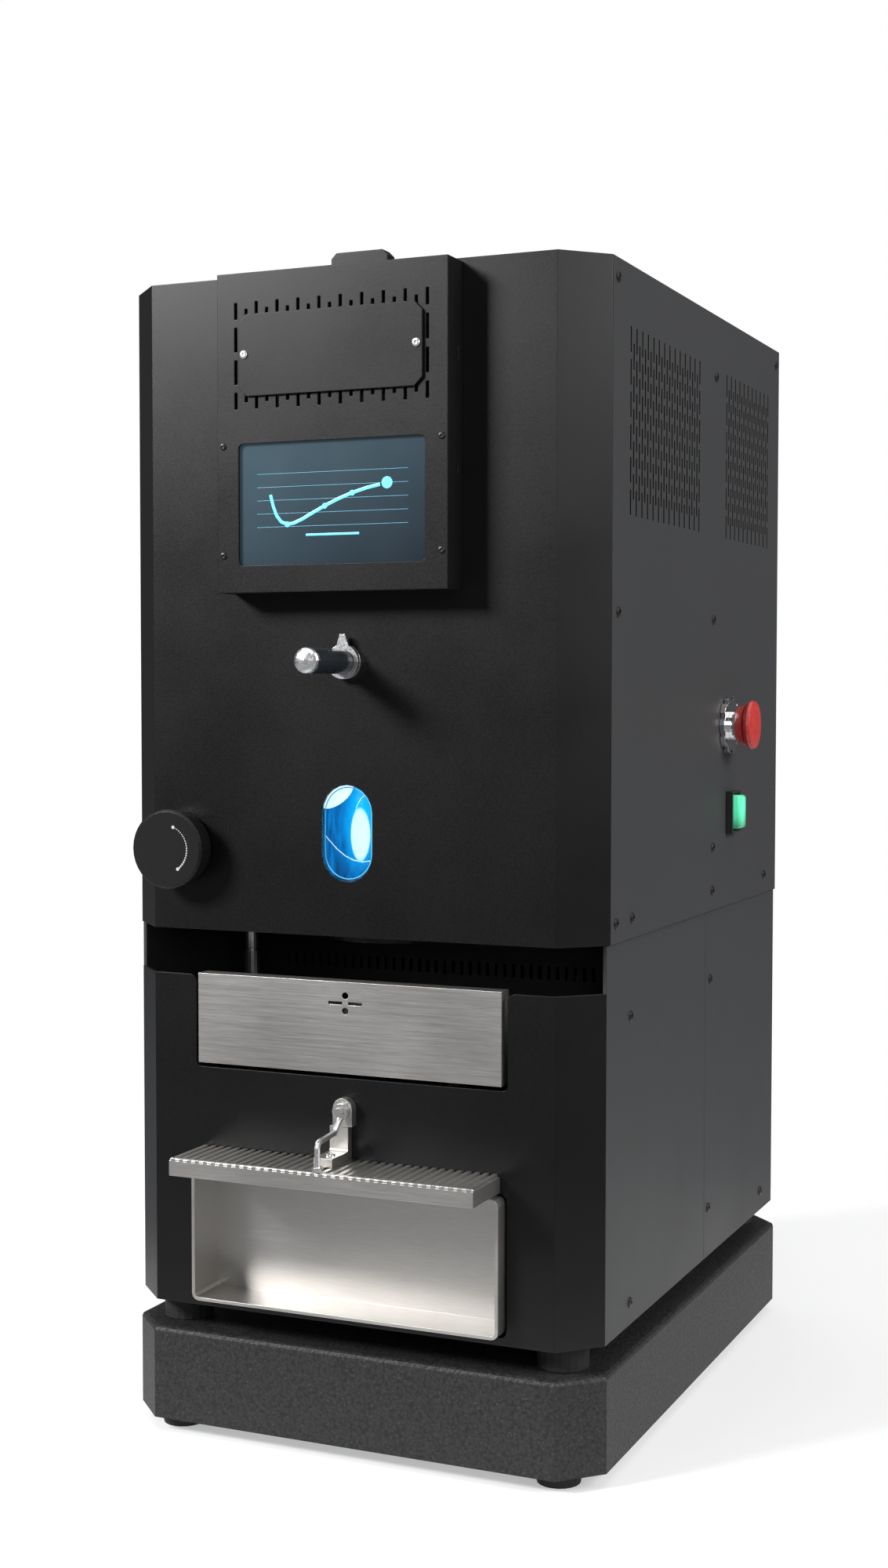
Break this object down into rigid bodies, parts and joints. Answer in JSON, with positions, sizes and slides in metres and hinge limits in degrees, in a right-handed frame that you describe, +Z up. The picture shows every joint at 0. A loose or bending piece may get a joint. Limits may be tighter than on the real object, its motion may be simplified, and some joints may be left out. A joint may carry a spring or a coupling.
{
  "type": "home coffee bean roaster",
  "caption": "Tall hot-air coffee bean roaster with a screen, sight window, sampler, control knob, slide-out cooling tray and chaff drawer under a ribbed shelf, on a plinth.",
  "frame": {"origin": "middle of the footprint, on the surface the feet stand on", "axes": "+Z up, front towards -Y, +X to the viewer's right as the front is faced"},
  "size_m": [0.301, 0.4314, 0.651],
  "materials": {
    "front_coat": "satin black powder coat",
    "side_coat": "fine textured dark grey powder coat",
    "base_coat": "speckled charcoal wrinkle coat",
    "foot_rubber": "matte black rubber",
    "stainless": "brushed along the width",
    "zinc_sheet": "plain zinc-coated sheet",
    "bright_chrome": "polished",
    "black_plastic": "satin black",
    "screen_glass": "glossy dark display panel",
    "clear_glass": "clear heat-proof glass",
    "stop_red": "red gloss",
    "lit_green": "green, lit from inside"
  },
  "bodies": {
    "cabinet": {"upper_front_cover": "front_coat", "lower_front_cover": "front_coat", "top_cover": "front_coat", "display_box": "front_coat", "name_plate": "front_coat", "upper_side_right": "side_coat", "upper_side_left": "side_coat", "upper_rear_cover": "side_coat", "lower_side_right": "side_coat", "lower_side_left": "side_coat", "lower_rear_cover": "side_coat", "bay_back_panel": "side_coat", "base_plinth": "base_coat", "foot_front_right": "foot_rubber", "foot_front_left": "foot_rubber", "foot_rear_right": "foot_rubber", "foot_rear_left": "foot_rubber", "stand_off_front_right": "foot_rubber", "stand_off_front_left": "foot_rubber", "stand_off_rear_right": "foot_rubber", "stand_off_rear_left": "foot_rubber", "ribbed_shelf": "stainless", "shelf_bracket": "stainless", "catch_block": "stainless", "chamber_head": "stainless", "air_ring": "stainless", "feed_funnel": "stainless", "base_plate": "zinc_sheet", "lower_floor": "zinc_sheet", "upper_floor": "zinc_sheet", "tray_deck": "zinc_sheet", "lid_hinge": "zinc_sheet", "rotary_control": "zinc_sheet", "heater_housing": "zinc_sheet", "blower_housing": "zinc_sheet", "chaff_duct": "zinc_sheet", "conduit_post": "bright_chrome", "stop_collar": "bright_chrome", "cooling_fan_frame": "black_plastic", "rocker_frame": "black_plastic", "power_inlet": "black_plastic", "display_screen": "screen_glass", "sight_glass": "clear_glass", "chamber_glass": "clear_glass"},
    "feed_lid": {"feed_lid": "front_coat"},
    "sampler_sleeve": {"sampler_sleeve": "bright_chrome"},
    "sampler_rod": {"sampler_rod": "black_plastic", "sampler_cap": "bright_chrome"},
    "control_knob": {"control_knob": "black_plastic"},
    "cooling_tray": {"tray_front": "stainless", "tray_basket": "stainless"},
    "chaff_drawer": {"chaff_drawer_front": "stainless", "chaff_drawer_bin": "zinc_sheet"},
    "cooling_fan": {"cooling_fan_rotor": "black_plastic"},
    "blower": {"blower_impeller": "zinc_sheet"},
    "catch_lever": {"catch_lever": "bright_chrome"},
    "stop_neck": {"stop_neck": "bright_chrome"},
    "stop_button": {"stop_button": "stop_red"},
    "rocker": {"rocker_button": "lit_green"},
    "bean_gate": {"bean_gate": "stainless"}
  },
  "joints": [
    {"name": "feed_lid_hinge", "type": "hinge", "parent": "cabinet", "child": "feed_lid", "pos_m": [-0.00945, -0.0558, 0.6427], "axis": [-1, 0, 0], "range_deg": [0, 100]},
    {"name": "sampler_turn", "type": "hinge", "parent": "cabinet", "child": "sampler_sleeve", "pos_m": [-0.00945, -0.1658, 0.432], "axis": [0, 1, 0], "range_deg": [-180, 180]},
    {"name": "sampler_pull", "type": "slide", "parent": "sampler_sleeve", "child": "sampler_rod", "axis": [0, -1, 0], "range_m": [0, 0.065]},
    {"name": "control_knob_turn", "type": "hinge", "parent": "cabinet", "child": "control_knob", "pos_m": [-0.11145, -0.1658, 0.33], "axis": [0, 1, 0], "range_deg": [-135, 135]},
    {"name": "cooling_tray_slide", "type": "slide", "parent": "cabinet", "child": "cooling_tray", "axis": [0, -1, 0], "range_m": [0, 0.085]},
    {"name": "chaff_drawer_slide", "type": "slide", "parent": "cabinet", "child": "chaff_drawer", "axis": [0, -1, 0], "range_m": [0, 0.08]},
    {"name": "cooling_fan_spin", "type": "hinge", "parent": "cabinet", "child": "cooling_fan", "pos_m": [-0.00945, -0.1038, 0.19], "axis": [0, 0, 1], "continuous": true},
    {"name": "blower_spin", "type": "hinge", "parent": "cabinet", "child": "blower", "pos_m": [-0.00945, 0.0842, 0.355], "axis": [1, 0, 0], "continuous": true},
    {"name": "catch_swing", "type": "hinge", "parent": "cabinet", "child": "catch_lever", "pos_m": [-0.00945, -0.1722, 0.1923], "axis": [0, 1, 0], "range_deg": [-75, 75]},
    {"name": "stop_press", "type": "slide", "parent": "cabinet", "child": "stop_neck", "axis": [-1, 0, 0], "range_m": [0, 0.004], "stiffness_N_per_m": 400, "springref_m": -0.002},
    {"name": "stop_twist", "type": "hinge", "parent": "stop_neck", "child": "stop_button", "pos_m": [0.14315, 0.0727, 0.396], "axis": [1, 0, 0], "range_deg": [0, 45], "stiffness_Nm_per_rad": 0.02},
    {"name": "rocker_tip", "type": "hinge", "parent": "cabinet", "child": "rocker", "pos_m": [0.12605, 0.0812, 0.3425], "axis": [0, 1, 0], "range_deg": [-10, 0]},
    {"name": "bean_gate_slide", "type": "slide", "parent": "cabinet", "child": "bean_gate", "axis": [0, 1, 0], "range_m": [0, 0.078]}
  ]
}
